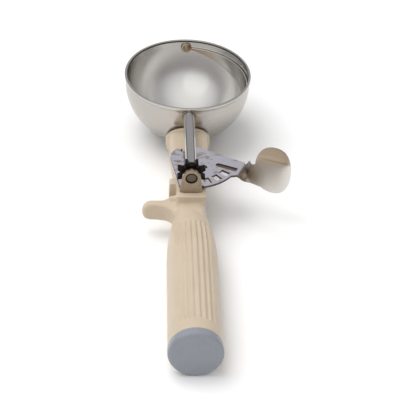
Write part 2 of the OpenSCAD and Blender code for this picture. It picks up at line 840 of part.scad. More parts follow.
function ease(t) = let (c = min(1, max(0, t))) c * c * (3 - 2 * c);
function pad_share(s) =
    pow(max(0, 1 - pow(min(1, abs(s - pad_mid) / (pad_len / 2)), pad_power)), 1 / pad_power);
function neck_edge(s) = let (r = pad_lift - neck_up + 1.2, t = min(1, max(0, (s - pad_start + r) / r)))
    neck_up + r * (1 - sqrt(1 - t * t));
function sheet_top(s) = max(neck_edge(s), pad_lift + pad_up * pad_share(s));
function sheet_low(s) = let (join = pad_start + 0.21 * pad_len)
    s < join ? -neck_down + (pad_low(join) + neck_down) * max(0, s) / join : pad_low(s);
function pad_low(s) = pad_lift - pad_down * pad_share(s);

// Place of a point in the plane across the arm: [side, height], and its turn from upright
function sheet_point(s, w, off) =
    let (twist = 90 * ease((s - flat_end) / twist_len),
         soft = norm([w - crease_h, 1]),
         over = (soft + w - crease_h) / 2,
         bend = lean * (1 + (w - crease_h) / soft) / 2,
         back = over * sin(lean) + curl * pow(max(0, (s - pad_mid) / (pad_len / 2)), 4),
         rise = w - over * (1 - cos(lean)),
         along = rise - off * sin(bend),
         out = back + off * cos(bend))
    [twist_line + along * cos(twist) + out * sin(twist),
     along * sin(twist) - out * cos(twist)];

function sheet_ring(s, rows) =
    let (low = sheet_low(s), top = sheet_top(s),
         row = [for (j = [0:rows]) low + (top - low) * j / rows])
    [for (q = concat([for (w = row) sheet_point(s, w, -tab_t / 2)],
                     [for (j = [rows:-1:0]) sheet_point(s, row[j], tab_t / 2)]))
        let (flat = (arm_len + s) * arm_dir + q[0] * arm_side)
        [flat.x, flat.y, lever_top - lever_t / 2 + q[1]]];

tab_rows = 14;
tab_stations = concat([flat_start], [for (i = [0:9]) flat_end + (pad_start - flat_end) * i / 9],
                      [for (i = [1:22]) pad_mid - pad_len / 2 * cos(176 * i / 22)]);
tab_rings = [for (s = tab_stations) sheet_ring(s, tab_rows)];
tab_reach = max([for (ring = tab_rings) for (p = ring) p.x]);

module thumb_tab() {
    polyhedron([for (ring = tab_rings) each ring], skin_faces(len(tab_rings), 2 * (tab_rows + 1)));
}

// ---- Pivot, washers and stop ----------------------------------------------------------------

stop_foot = grip_z;
stud_foot = grip_z - 2;

// The pivot pin's stud in the handle and the tang, grown by a clearance
module pivot_stud(grow) {
    at_pivot(stud_foot - grow) cylinder(r = pivot_r + grow, h = body_top - stud_foot + through + grow);
}

module lever_pivot_pin() {
    head_z = lever_top + 2 * seat_gap + washer_t / 2 + seat_gap;
    color("#8e8981") at_pivot() difference() {
        union() {
            translate([0, 0, stud_foot]) cylinder(r = pivot_r, h = head_z - stud_foot + 0.1);
            translate([0, 0, head_z]) rotate_extrude() {
                square([pivot_head_r, pivot_head_h - 0.6]);
                square([pivot_head_r - 0.6, pivot_head_h]);
                translate([pivot_head_r - 0.6, pivot_head_h - 0.6]) circle(0.6);
            }
        }
        translate([-0.6, -pivot_head_r, head_z + pivot_head_h - 0.7]) cube([1.2, 2 * pivot_head_r, 2]);
    }
}

module flat_washer(r, hole, z, t) {
    at_pivot(z) difference() {
        cylinder(r = r, h = t);
        translate([0, 0, -through]) cylinder(r = hole, h = t + 2 * through);
    }
}

module lever_washer() {
    color("#b79a5c") flat_washer(boss_r, pivot_r + seat_gap, body_top + seat_gap, lever_rise - 3 * seat_gap);
}

module pivot_top_washer() {
    color("#9a958b") flat_washer(pivot_head_r + 0.3, pivot_r + run_fit, lever_top + seat_gap, washer_t / 2);
}

module stop_pin() {
    color("#86817a") at_stop() {
        translate([0, 0, stop_foot]) cylinder(r = stop_r, h = lever_top - stop_foot);
        translate([0, 0, lever_top]) cylinder(r1 = stop_r, r2 = stop_r - 0.4, h = 0.4, $fn = 48);
    }
}

// ---- Return spring --------------------------------------------------------------------------

leg_down = 2;

function coil_low() = 0.4 + wire / 2;
function coil_rise() = coil_pitch * coil_turns;
function coil_foot() = coil_r * [cos(leg_angle - 360 * coil_turns), sin(leg_angle - 360 * coil_turns)];

// Middle line of the wire: up out of the floor, round the coil, out and up through the lever
function wire_line() = let (foot = coil_foot(), top = coil_low() + coil_rise(), turn = 24,
                            out = [cos(leg_angle), sin(leg_angle)]) concat(
    [[foot.x, foot.y, coil_low() - wire / 2 - leg_down], [foot.x, foot.y, coil_low() - wire]],
    [for (i = [1:round(turn * coil_turns)]) let (a = leg_angle - 360 * coil_turns + 360 * i / turn)
        [coil_r * cos(a), coil_r * sin(a), coil_low() + coil_pitch * i / turn]],
    [for (r = [coil_r + wire, leg_r - wire / 2]) [r * out.x, r * out.y, top]],
    [[leg_r * out.x, leg_r * out.y, top + wire / 2],
     [leg_r * out.x, leg_r * out.y, lever_top + wire / 2 - (body_top - pocket_depth)]]);

function unit(v) = v / norm(v);

// Rings of a tube along a line, each frame carried on from the one before
function tube_rings(line, r, sides, i = 0, up = [1, 0, 0]) = i >= len(line) ? [] :
    let (ahead = unit(line[min(i + 1, len(line) - 1)] - line[max(i - 1, 0)]),
         side = unit(up - (up * ahead) * ahead), over = cross(ahead, side))
    concat([[for (k = [0:sides - 1]) line[i] + r * (cos(360 * k / sides) * side
                                                     - sin(360 * k / sides) * over)]],
           tube_rings(line, r, sides, i + 1, side));

module return_spring() {
    sides = 10;
    rings = tube_rings(wire_line(), wire / 2, sides);
    color("#7c7a76") at_pivot(body_top - pocket_depth)
        polyhedron([for (ring = rings) each ring], skin_faces(len(rings), sides));
}

// ---- The whole scoop ------------------------------------------------------------------------

module place() {
    translate([(lip_r - tab_reach) / 2, (cap_tip - lip_r) / 2, 0]) children();
}

place() bowl();
place() handle_shank();
place() handle();
place() end_cap();
place() shaft_bracket();
place() bracket_screw();
place() bracket_bush();
place() bowl_eyelet();
place() drive_shaft();
place() pinion();
place() pinion_pin();
place() thrust_washer();
place() blade();
place() blade_rivet();
place() blade_washer();
place() lever();
place() lever_pivot_pin();
place() lever_washer();
place() pivot_top_washer();
place() stop_pin();
place() return_spring();
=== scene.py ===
import math

import bmesh
import bpy
from mathutils import Matrix, Vector


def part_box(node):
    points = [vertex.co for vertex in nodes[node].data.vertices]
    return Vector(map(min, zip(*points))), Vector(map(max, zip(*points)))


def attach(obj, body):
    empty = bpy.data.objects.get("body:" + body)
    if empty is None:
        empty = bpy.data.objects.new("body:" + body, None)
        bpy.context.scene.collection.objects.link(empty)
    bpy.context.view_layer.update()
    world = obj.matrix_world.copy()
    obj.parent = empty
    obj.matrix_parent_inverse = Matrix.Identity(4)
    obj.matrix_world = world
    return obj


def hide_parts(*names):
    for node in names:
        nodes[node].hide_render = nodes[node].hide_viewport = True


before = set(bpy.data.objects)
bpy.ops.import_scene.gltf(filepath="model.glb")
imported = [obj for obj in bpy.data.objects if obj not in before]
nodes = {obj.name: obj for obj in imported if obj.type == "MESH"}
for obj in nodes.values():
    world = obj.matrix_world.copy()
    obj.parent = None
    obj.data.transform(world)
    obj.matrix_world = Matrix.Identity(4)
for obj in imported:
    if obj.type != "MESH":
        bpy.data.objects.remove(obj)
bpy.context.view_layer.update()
mm = 0.001  # in metres
bowlLow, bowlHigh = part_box("bowl")
bowlAxis = Vector(((bowlLow.x + bowlHigh.x) / 2, (bowlLow.y + bowlHigh.y) / 2, 0))
capLow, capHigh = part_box("end_cap")
gripHeight = (capLow.z + capHigh.z) / 2 / mm
print("frame loaded,", len(nodes), "CAD nodes")


def at(x, y, z):  # a place in millimetres from the bowl's axis, in the row frame's metres
    return bowlAxis + Vector((x, y, z)) * mm


camera = {
    "place": (-52.357, -864.893, 672.666),  # mm from the frame's origin, fitted to the bowl's rim and the cap
    "target": (0.6705, -5.599, 15.355),
    "roll": 2.893,  # degrees
    "lens": 179.54,
    "sensor": 36.0,
    "clip": (0.01, 20),  # metres
}


def addCamera():
    data = bpy.data.cameras.new("camera")
    data.lens, data.sensor_width = camera["lens"], camera["sensor"]
    data.clip_start, data.clip_end = camera["clip"]
    item = bpy.data.objects.new("camera", data)
    bpy.context.scene.collection.objects.link(item)
    place, target = Vector(camera["place"]) * mm, Vector(camera["target"]) * mm
    ahead = (target - place).normalized()
    level = ahead.cross(Vector((0, 0, 1))).normalized()
    upright = level.cross(ahead)
    roll = math.radians(camera["roll"])
    right = math.cos(roll) * level + math.sin(roll) * upright
    up = -math.sin(roll) * level + math.cos(roll) * upright
    turn = Matrix((right, up, -ahead)).transposed()
    item.matrix_world = Matrix.Translation(place) @ turn.to_4x4()
    bpy.context.scene.camera = item


addCamera()
print("camera set")


def toLinear(hexCode):  # an sRGB hex value as a linear colour
    parts = [int(hexCode[i:i + 2], 16) / 255 for i in (1, 3, 5)]
    return tuple(c / 12.92 if c <= 0.04045 else ((c + 0.055) / 1.055) ** 2.4 for c in parts) + (1.0,)


# Adds one node with its settings, values and links. Its first output goes to the socket in to, and stops are
# the (place, hex) pairs of a colour ramp.
def addNode(tree, kind, inputs=None, to=None, stops=(), **settings):
    node = tree.nodes.new(kind)
    for name, value in settings.items():
        setattr(node, name, value)
    for socket, value in (inputs or {}).items():
        if isinstance(value, bpy.types.NodeSocket):
            tree.links.new(value, node.inputs[socket])
        else:
            node.inputs[socket].default_value = value
    if stops:
        while len(node.color_ramp.elements) < len(stops):
            node.color_ramp.elements.new(0.5)
        for element, (place, code) in zip(node.color_ramp.elements, stops):
            element.position, element.color = place, toLinear(code)
    if to is not None:
        tree.links.new(node.outputs[0], to)
    return node


def newMaterial(name, **values):  # a Principled material; values go on the shader's own sockets
    material = bpy.data.materials.new(name)
    material.use_nodes = True
    tree = material.node_tree
    shader = tree.nodes["Principled BSDF"]
    for socket, value in values.items():
        shader.inputs[socket.replace("_", " ")].default_value = value
    return material, tree, shader


def grain(tree, size, stretch=(1, 1, 1), detail=3.0):  # noise whose grain is size mm, drawn out by stretch
    place = addNode(tree, "ShaderNodeTexCoord").outputs["Object"]
    scaled = addNode(tree, "ShaderNodeVectorMath", {0: place, 1: [1 / (size * mm * s) for s in stretch]},
                     operation="MULTIPLY").outputs["Vector"]
    return addNode(tree, "ShaderNodeTexNoise", {"Vector": scaled, "Scale": 1.0, "Detail": detail,
                   "Roughness": 0.6}).outputs["Fac"]


# Noise in lines size mm wide, drawn out round the bowl's axis by about sweep radians, as a spinning brush
# leaves them
def turned(tree, size, sweep):
    place = addNode(tree, "ShaderNodeTexCoord").outputs["Object"]
    moved = addNode(tree, "ShaderNodeVectorMath", {0: place, 1: bowlAxis}, operation="SUBTRACT").outputs[0]
    parts = addNode(tree, "ShaderNodeSeparateXYZ", {"Vector": moved}).outputs
    angle = addNode(tree, "ShaderNodeMath", {0: parts["Y"], 1: parts["X"]}, operation="ARCTAN2").outputs[0]
    flat = addNode(tree, "ShaderNodeVectorMath", {0: moved, 1: (1, 1, 0)}, operation="MULTIPLY").outputs[0]
    radius = addNode(tree, "ShaderNodeVectorMath", {0: flat}, operation="LENGTH").outputs["Value"]
    wide, out, high = [addNode(tree, "ShaderNodeMath", {0: value, 1: scale}, operation="MULTIPLY").outputs[0]
                       for value, scale in ((angle, 1 / sweep), (radius, 1 / (size * mm)),
                                            (parts["Z"], 1 / (size * mm)))]
    joined = addNode(tree, "ShaderNodeCombineXYZ", {"X": wide, "Y": out, "Z": high}).outputs["Vector"]
    return addNode(tree, "ShaderNodeTexNoise", {"Vector": joined, "Scale": 1.0, "Detail": 3.0,
                   "Roughness": 0.6}).outputs["Fac"]


# A noise varies the roughness and stands up by the item's depth in mm. Most of a noise lies in 0.3 to 0.7.
def addRelief(tree, shader, item, pattern):
    addNode(tree, "ShaderNodeMapRange", {"Value": pattern, "From Min": 0.3, "From Max": 0.7,
            "To Min": item["roughness"][0], "To Max": item["roughness"][1]}, to=shader.inputs["Roughness"])
    addNode(tree, "ShaderNodeBump", {"Height": pattern, "Distance": item["depth"] * mm},
            to=shader.inputs["Normal"])


# The steel surfaces: tone, roughness from the brightest lines to the dullest, width of the brush lines, how
# far they are drawn out and how deep they are. Real brush lines are a few hundredths of a millimetre wide and
# would not show, so they are drawn coarser.
steel = {
    "bowlOutside": {"colour": "#BBB6B0", "roughness": (0.22, 0.32), "brush": 0.12, "sweep": 0.9,
                    "depth": 0.004, "anisotropy": 0.5},
    "bowlInside": {"colour": "#DCDAD7", "roughness": (0.16, 0.23), "brush": 0.10, "sweep": 0.7,
                   "depth": 0.002, "anisotropy": 0.8},
    "lip": {"colour": "#C6C3BE", "roughness": (0.14, 0.22), "brush": 0.1, "stretch": (8, 8, 1),
            "depth": 0.002},
    # painted shade: the dark ring just under the lip
    "rimShade": {"colour": "#5E5852", "roughness": (0.3, 0.4), "brush": 0.1, "stretch": (8, 8, 1),
                 "depth": 0.002},
    "blade": {"colour": "#C8C5C0", "roughness": (0.12, 0.2), "brush": 0.12, "sweep": 0.4, "depth": 0.002,
              # the tint: its middle, the grain and depth of its ragged edge, and its tones over its reach
              "tinted": (3.2, 32.6, 35.6), "ragged": 1.6, "raggedDepth": 4, "reach": (2, 22),
              "tints": [(0.0, "#6A4428"), (0.08, "#86613F"), (0.17, "#B5A188"), (0.5, "#BDB1A1")]},
    # painted highlight: the pale finish of the blade's rim
    "bladeEdgeHighlight": {"colour": "#F0EEEA", "roughness": (0.3, 0.4), "brush": 0.1, "stretch": (1, 1, 1),
                  "depth": 0.002},
    "plate": {"colour": "#E2E0E8", "roughness": (0.07, 0.16), "brush": 0.10, "stretch": (9, 1, 1),
              "depth": 0.002,
              # the bloom: its tone, its patches' size and stretch, and the noise where it starts and is full
              "stain": "#AC9A8E", "bloom": 3.6, "bloomStretch": (1.5, 0.9, 1), "bloomFrom": (0.54, 0.74)},
    # painted shade: the dark finish of the plate's edges and upright walls
    "paintedEdgeShade": {"colour": "#4C484A", "roughness": (0.3, 0.45), "brush": 0.1, "stretch": (1, 1, 6),
                "depth": 0.002},
    "tab": {"colour": "#DAD6D1", "roughness": (0.22, 0.32), "brush": 0.10, "stretch": (1, 1, 8),
            "depth": 0.002,
            # the neck's painted reflection in tones from its middle out, and the painted warm reflection above
            # the crease, which is soft by blur
            "neck": (28.5, -75.5, 26.5), "reach": 20, "tints": [(0.05, "#786C5D"), (0.28, "#A89E91")],
            "tintEnd": 0.65, "paintedWarmReflection": "#B9AA97", "crease": 39.85, "blur": 0.4},
    # painted reflection and shade: the brown of the groove's floor
    "groove": {"colour": "#8F7D6E", "roughness": (0.35, 0.5), "brush": 0.3, "stretch": (1, 1, 1),
               "depth": 0.01},
    "bracket": {"colour": "#BDB4A8", "roughness": (0.28, 0.42), "brush": 0.5, "depth": 0.012,
                "speck": "#8B7F72", "speckFrom": (0.36, 0.56)},
    # painted highlight: the pale finish of the bracket's eased edges
    "bright": {"colour": "#E4E0DA", "roughness": (0.2, 0.3), "brush": 0.1, "stretch": (1, 1, 1),
               "depth": 0.002},
    "shaft": {"colour": "#BEBCBA", "roughness": (0.12, 0.2), "brush": 0.06, "stretch": (1, 40, 1),
              "depth": 0.002},
}


# Stainless sheet, spun on a lathe and brushed as it turns: a satin outside with soft even reflections, and a
# polished inside with light and dark streaks that run to the middle
def makeBowlSteel(name, item):
    # a quarter turn, so that highlights stretch across the brush lines
    material, tree, shader = newMaterial(name, Base_Color=toLinear(item["colour"]), Metallic=1.0,
                                         Anisotropic=item["anisotropy"], Anisotropic_Rotation=0.25)
    addRelief(tree, shader, item, turned(tree, item["brush"], item["sweep"]))
    addNode(tree, "ShaderNodeTangent", to=shader.inputs["Tangent"], direction_type="RADIAL", axis="Z")
    return material


# Thin stainless sheet, polished, browner towards the far rivet, with a ragged edge to the brown
def makeBladeSteel(name, item):
    material, tree, shader = newMaterial(name, Metallic=1.0)
    place = addNode(tree, "ShaderNodeTexCoord").outputs["Object"]
    away = addNode(tree, "ShaderNodeVectorMath", {0: place, 1: at(*item["tinted"])}, operation="DISTANCE")
    ragged = addNode(tree, "ShaderNodeMath", {0: grain(tree, item["ragged"]), 1: item["raggedDepth"] * mm},
                     operation="MULTIPLY")
    ragged = addNode(tree, "ShaderNodeMath", {0: away.outputs["Value"], 1: ragged.outputs[0]}, operation="ADD")
    start, end = item["reach"]
    share = addNode(tree, "ShaderNodeMapRange", {"Value": ragged.outputs[0], "From Min": start * mm,
                    "From Max": end * mm})
    addNode(tree, "ShaderNodeValToRGB", {"Fac": share.outputs["Result"]}, to=shader.inputs["Base Color"],
            stops=item["tints"] + [(1.0, item["colour"])])
    addRelief(tree, shader, item, turned(tree, item["brush"], item["sweep"]))
    return material


# Stainless sheet or bar in one tone, with a fine grain drawn out one way. The list of finishes says how each
# surface was left and what that gives the eye.
def makeFlatSteel(name, item):
    material, tree, shader = newMaterial(name, Base_Color=toLinear(item["colour"]), Metallic=1.0)
    addRelief(tree, shader, item, grain(tree, item["brush"], item["stretch"]))
    return material


# Stainless plate, blanked and buffed bright, with the faint brown bloom that washing leaves in low places
def makePlateSteel(name, item):
    material, tree, shader = newMaterial(name, Metallic=1.0)
    addNode(tree, "ShaderNodeValToRGB", {"Fac": grain(tree, item["bloom"], item["bloomStretch"], detail=2.0)},
            to=shader.inputs["Base Color"],
            stops=list(zip(item["bloomFrom"], (item["colour"], item["stain"]))))
    addRelief(tree, shader, item, grain(tree, item["brush"], item["stretch"]))
    return material


# Stainless tab, satin finished by hand, with painted reflections: brown and dark in the twisted neck, and a
# warm tone on the curled top above the crease
def makeTabSteel(name, item):
    material, tree, shader = newMaterial(name, Metallic=1.0)
    place = addNode(tree, "ShaderNodeTexCoord").outputs["Object"]
    away = addNode(tree, "ShaderNodeVectorMath", {0: place, 1: at(*item["neck"])}, operation="DISTANCE")
    share = addNode(tree, "ShaderNodeMapRange", {"Value": away.outputs["Value"], "From Min": 0,
                    "From Max": item["reach"] * mm})
    # painted reflection: the neck brown and dark, fading out over its reach
    tint = addNode(tree, "ShaderNodeValToRGB", {"Fac": share.outputs["Result"]},
                   stops=item["tints"] + [(item["tintEnd"], item["colour"])])
    height = addNode(tree, "ShaderNodeSeparateXYZ", {"Vector": place}).outputs["Z"]
    # painted warm reflection: the curled top above the crease
    above = addNode(tree, "ShaderNodeMapRange", {"Value": height,
                    "From Min": (item["crease"] - item["blur"]) * mm,
                    "From Max": (item["crease"] + item["blur"]) * mm})
    paintedWarmReflection = addNode(tree, "ShaderNodeMix", {0: above.outputs["Result"], 6: tint.outputs["Color"],
                   7: toLinear(item["paintedWarmReflection"])}, data_type="RGBA")
    tree.links.new(paintedWarmReflection.outputs[2], shader.inputs["Base Color"])
    addRelief(tree, shader, item, grain(tree, item["brush"], item["stretch"]))
    return material


# Stainless bracket, tumbled with stones after stamping: a light face with fine dark specks
def makeBracketSteel(name, item):
    material, tree, shader = newMaterial(name, Metallic=1.0)
    specks = grain(tree, item["brush"], detail=4.0)
    addNode(tree, "ShaderNodeValToRGB", {"Fac": specks}, to=shader.inputs["Base Color"],
            stops=list(zip(item["speckFrom"], (item["speck"], item["colour"]))))
    addRelief(tree, shader, item, specks)
    return material


# The small metals: tone, middle roughness, size and depth of the tool marks, and how metallic the skin is
smallMetal = {
    "pinion": {"name": "steel_sintered_dark", "colour": "#26211C", "dull": 0.5, "mark": 0.15, "depth": 0.01,
               "metallic": 0.85},
    # painted shade: the darker journal end of the shaft
    "journal": {"name": "steel_journal_painted_shade", "colour": "#7A7572", "dull": 0.35},
    "fixing": {"name": "stainless_turned_fixing", "colour": "#A8A49D", "dull": 0.28},
    # the bush is nearly black
    "bush": {"name": "steel_dark_bush", "colour": "#2E2A27", "dull": 0.4},
    "brass": {"name": "brass_stamped_washer", "colour": "#C2A05E", "dull": 0.3},
    "wire": {"name": "steel_drawn_wire", "colour": "#8A8883", "dull": 0.3},
    "rivet": {"name": "stainless_rivet_warm", "colour": "#B49C86", "dull": 0.25},
}


# Plain turned or stamped metal of a small fixing: one tone broken by fine tool marks
def makeSmallMetal(name, colour, dull, mark=0.2, depth=0.004, metallic=1.0, shade=0.86, stops=(0.3, 0.65)):
    material, tree, shader = newMaterial(name, Metallic=metallic)
    marks = grain(tree, mark)
    darker = "#" + "".join(f"{int(int(colour[i:i + 2], 16) * shade):02X}" for i in (1, 3, 5))
    addNode(tree, "ShaderNodeValToRGB", {"Fac": marks}, to=shader.inputs["Base Color"],
            stops=list(zip(stops, (darker, colour))))
    roughness = (dull * 0.8, dull * 1.2)  # a fifth either way
    addRelief(tree, shader, {"roughness": roughness, "depth": depth}, marks)
    return material


plastic = {
    "ivory": {"colour": "#C9B9A3", "deep": "#C5B59F", "patch": 9.0, "flow": (1, 1.6, 1), "stops": (0.3, 0.55),
              "roughness": (0.36, 0.46), "pebble": 0.35, "depth": 0.008},
    "grey": {"colour": "#8D9199", "deep": "#8A8E96", "patch": 5.0, "flow": (1, 1, 1), "stops": (0.35, 0.6),
             "roughness": (0.24, 0.32), "pebble": 0.3, "depth": 0.006},
}


# Polypropylene, injection moulded: satin, with a slow drift of tone from the melt's flow and the fine pebble
# of a spark-eroded mould, which is drawn coarser than the real 0.05 mm
def makePlastic(name, item, **values):
    material, tree, shader = newMaterial(name, IOR=1.49, **values)
    patches = grain(tree, item["patch"], item["flow"], detail=2.0)
    addNode(tree, "ShaderNodeValToRGB", {"Fac": patches}, to=shader.inputs["Base Color"],
            stops=list(zip(item["stops"], (item["deep"], item["colour"]))))
    addRelief(tree, shader, item, grain(tree, item["pebble"]))
    return material


finishes = {
    "bowlOutside": makeBowlSteel("stainless_spun_satin", steel["bowlOutside"]),
    "bowlInside": makeBowlSteel("stainless_spun_polished", steel["bowlInside"]),
    "lip": makeFlatSteel("stainless_lip_buffed", steel["lip"]),  # buffed: clear, bright reflections
    "rimShade": makeFlatSteel("stainless_rim_painted_shade", steel["rimShade"]),  # painted shade: a dark, dull ring just under the lip
    "blade": makeBladeSteel("stainless_thin_polished", steel["blade"]),
    "bladeEdgeHighlight": makeFlatSteel("stainless_blade_edge_painted_highlight", steel["bladeEdgeHighlight"]),  # painted highlight: a pale, matt line along the blade's rim
    "plate": makePlateSteel("stainless_plate_buffed", steel["plate"]),
    "paintedEdgeShade": makeFlatSteel("stainless_edge_painted_shade", steel["paintedEdgeShade"]),  # painted shade: dark on the eased edges and the upright walls
    "tab": makeTabSteel("stainless_tab_satin", steel["tab"]),
    "groove": makeFlatSteel("stainless_groove_painted_reflection", steel["groove"]),  # painted reflection and shade: brown and matt in the groove's floor
    "bracket": makeBracketSteel("stainless_bracket_tumbled", steel["bracket"]),
    "bright": makeFlatSteel("stainless_bracket_edge_painted_highlight", steel["bright"]),  # painted highlight: a pale, soft line on the eased edges
    "shaft": makeFlatSteel("stainless_bar_turned", steel["shaft"]),  # polished along it: sharp stripes
    # light softens just under the ivory's skin
    "ivory": makePlastic("polypropylene_moulded_ivory", plastic["ivory"], Subsurface_Weight=0.12,
                         Subsurface_Scale=0.0015, Subsurface_Radius=(1.0, 0.75, 0.5)),
    "grey": makePlastic("polypropylene_moulded_grey", plastic["grey"]),
}
for use, item in smallMetal.items():
    finishes[use] = makeSmallMetal(**item)
print("materials made:", len(finishes))


def addPiece(name, mesh, materials, body, replaced, angle=35):  # edges sharper than angle stay sharp
    item = bpy.data.objects.new(name, mesh)
    bpy.context.scene.collection.objects.link(item)
    mesh.materials.clear()
    for material in materials:
        mesh.materials.append(material)
    mesh.polygons.foreach_set("use_smooth", [True] * len(mesh.polygons))
    mesh.set_sharp_from_angle(angle=math.radians(angle))
    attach(item, body)
    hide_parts(*replaced)
    return item


def meshFrom(name, points, faces):
    mesh = bpy.data.meshes.new(name)
    mesh.from_pydata([tuple(p) for p in points], [], faces)
    mesh.update()
    return mesh


def arc(centre, radius, start, end, steps):  # points of a circle's arc, angles in degrees
    return [(centre[0] + radius * math.cos(math.radians(start + (end - start) * i / steps)),
             centre[1] + radius * math.sin(math.radians(start + (end - start) * i / steps)))
            for i in range(steps + 1)]


def lathe(name, profile, segments, toPlace):  # spins (radius, height) points; toPlace puts them in the frame
    points, faces, rows = [], [], []
    for radius, height in profile:
        if radius < 1e-6:  # one shared point on the axis
            rows.append([len(points)] * segments)
            points.append(toPlace(0, 0, height))
        else:
            rows.append(list(range(len(points), len(points) + segments)))
            points += [toPlace(radius * math.cos(2 * math.pi * k / segments),
                               radius * math.sin(2 * math.pi * k / segments), height) for k in range(segments)]
    for low, high in zip(rows, rows[1:]):
        for k in range(segments):
            n = (k + 1) % segments
            corners = [low[k], low[n], high[n], high[k]]
            faces.append([c for i, c in enumerate(corners) if c not in corners[:i]])
    return meshFrom(name, points, faces)


bowl = {
    "inside": 33.35, "wall": 0.8, "middle": 34.15, "rim": 38.8,
    "band": (1.5, 1.2),  # height of the straight band's first ring over the middle, inside and outside
    "lip": 1.349, "lipHeight": 1.7,  # how far the lip reaches out from the inside, and down from the rim
    "round": 0.55, "foot": (0.15, 0.12),  # the lip's outer rounding, and where it runs back into the wall
    "ease": 0.25, "easeMiddle": (0.07, 0.08),  # the rim's inner rounding and its middle point
    "rimShade": 1.2,  # the ring of painted shade inside, down from the rim
    "steps": 72, "lipSteps": 8, "segments": 288, "sharp": 60,
}


def makeBowl():
    inner, outer = bowl["inside"], bowl["inside"] + bowl["wall"]
    edge, z, rim, r = bowl["inside"] + bowl["lip"], bowl["middle"], bowl["rim"], bowl["round"]
    low, ease, steps, lipSteps = rim - bowl["lipHeight"], bowl["ease"], bowl["steps"], bowl["lipSteps"]
    inside = arc((0, z), inner, -90, 0, steps) \
        + [(inner, z + bowl["band"][0]), (inner, rim - bowl["rimShade"]), (inner, rim - ease)]
    lip = [(inner + bowl["easeMiddle"][0], rim - bowl["easeMiddle"][1]), (inner + ease, rim)] \
        + arc((edge - r, rim - r), r, 90, 0, lipSteps) + arc((edge - r, low + r), r, 0, -90, lipSteps) \
        + [(outer + bowl["foot"][0], low), (outer, low - bowl["foot"][1])]
    outside = [(outer, z + bowl["band"][1])] + arc((0, z), outer, 0, -90, steps)
    mesh = lathe("bowlShell", inside + lip + outside, bowl["segments"], at)
    used = ["bowlInside", "lip", "bowlOutside", "rimShade"]
    item = addPiece("bowl_shell", mesh, [finishes[use] for use in used], "root", ["bowl"],
                    bowl["sharp"])
    # the finish of each ring of faces; the last one on the inside is the painted shade under the rim
    rows = ["bowlInside"] * (len(inside) - 2) + ["rimShade"] + ["lip"] * len(lip)
    rows += ["bowlOutside"] * len(outside)
    for polygon in mesh.polygons:
        row = min(polygon.index // bowl["segments"], len(rows) - 1)
        polygon.material_index = used.index(rows[row])
    return item


makeBowl()
print("bowl made")

# The blade is a strip of a ball that ends in two round ears on the shaft's line. Its turns are in degrees,
# down from the thumb side, and it is drawn at rest.
blade = {
    "outside": 33.0, "sheet": 0.6, "middle": 34.15,
    "upper": 1.0, "span": 17.4,  # the turn of its upper edge, and how far it spans from there
    "ear": 2.9,  # radius of an ear
    "across": 10, "along": 160, "earRings": 6, "earSteps": 96,
    "ease": 0.12, "easeSteps": 3, "easeFrom": 50, "sharp": 45,
}


def makeBlade():
    radius = blade["outside"]
    earAngle = math.degrees(math.asin(blade["ear"] / radius))
    across, along, rings, steps = blade["across"], blade["along"], blade["earRings"], blade["earSteps"]
    lower = blade["upper"] + blade["span"]
    stripTurns = [blade["upper"] + blade["span"] * j / across for j in range(across + 1)]
    earTurns = [lower + (360 - blade["span"]) * k / steps for k in range(1, steps)]

    def spot(fromFar, turn):  # a point at an angle from the far end, turned down from the thumb side
        a, b = math.radians(fromFar), math.radians(turn)
        return at(radius * math.sin(a) * math.cos(b), radius * math.cos(a), blade["middle"]
                  - radius * math.sin(a) * math.sin(b))

    mesh = bmesh.new()
    grid = [[mesh.verts.new(spot(earAngle + (180 - 2 * earAngle) * i / along, turn)) for turn in stripTurns]
            for i in range(along + 1)]
    for i in range(along):
        for j in range(across):
            mesh.faces.new([grid[i][j], grid[i][j + 1], grid[i + 1][j + 1], grid[i + 1][j]])
    for row, end in ((grid[0], 0), (grid[along], 180)):
        outer = row + [mesh.verts.new(spot(abs(end - earAngle), turn)) for turn in earTurns]
        for ring in range(rings - 1, 0, -1):
            fromEnd = abs(end - earAngle * (ring / rings))
            inner = [mesh.verts.new(spot(fromEnd, turn)) for turn in stripTurns + earTurns]
            for k in range(len(outer)):
                n = (k + 1) % len(outer)
                mesh.faces.new([outer[k], outer[n], inner[n], inner[k]])
            outer = inner
        middle = mesh.verts.new(spot(end, 0))
        for k in range(len(outer)):
            mesh.faces.new([outer[k], outer[(k + 1) % len(outer)], middle])
    bmesh.ops.recalc_face_normals(mesh, faces=mesh.faces)
    centre = at(0, 0, blade["middle"])
    face = max(mesh.faces, key=lambda f: f.calc_area())
    if face.normal.dot(face.calc_center_median() - centre) < 0:  # the sheet is given its thickness inwards
        bmesh.ops.reverse_faces(mesh, faces=mesh.faces)
    data = bpy.data.meshes.new("bladeStrip")
    mesh.to_mesh(data)
    item = addPiece("blade_strip", data, [finishes["blade"], finishes["bladeEdgeHighlight"]], "rotor", ["blade"],
                    blade["sharp"])
    thick = item.modifiers.new("sheet", "SOLIDIFY")  # its rim takes the second finish, a painted highlight
    thick.thickness, thick.offset, thick.material_offset_rim = blade["sheet"] * mm, -1, 1
    edge = item.modifiers.new("edge", "BEVEL")
    edge.width, edge.segments, edge.limit_method = blade["ease"] * mm, blade["easeSteps"], "ANGLE"
    edge.angle_limit = math.radians(blade["easeFrom"])
    return item


makeBlade()
print("blade made")

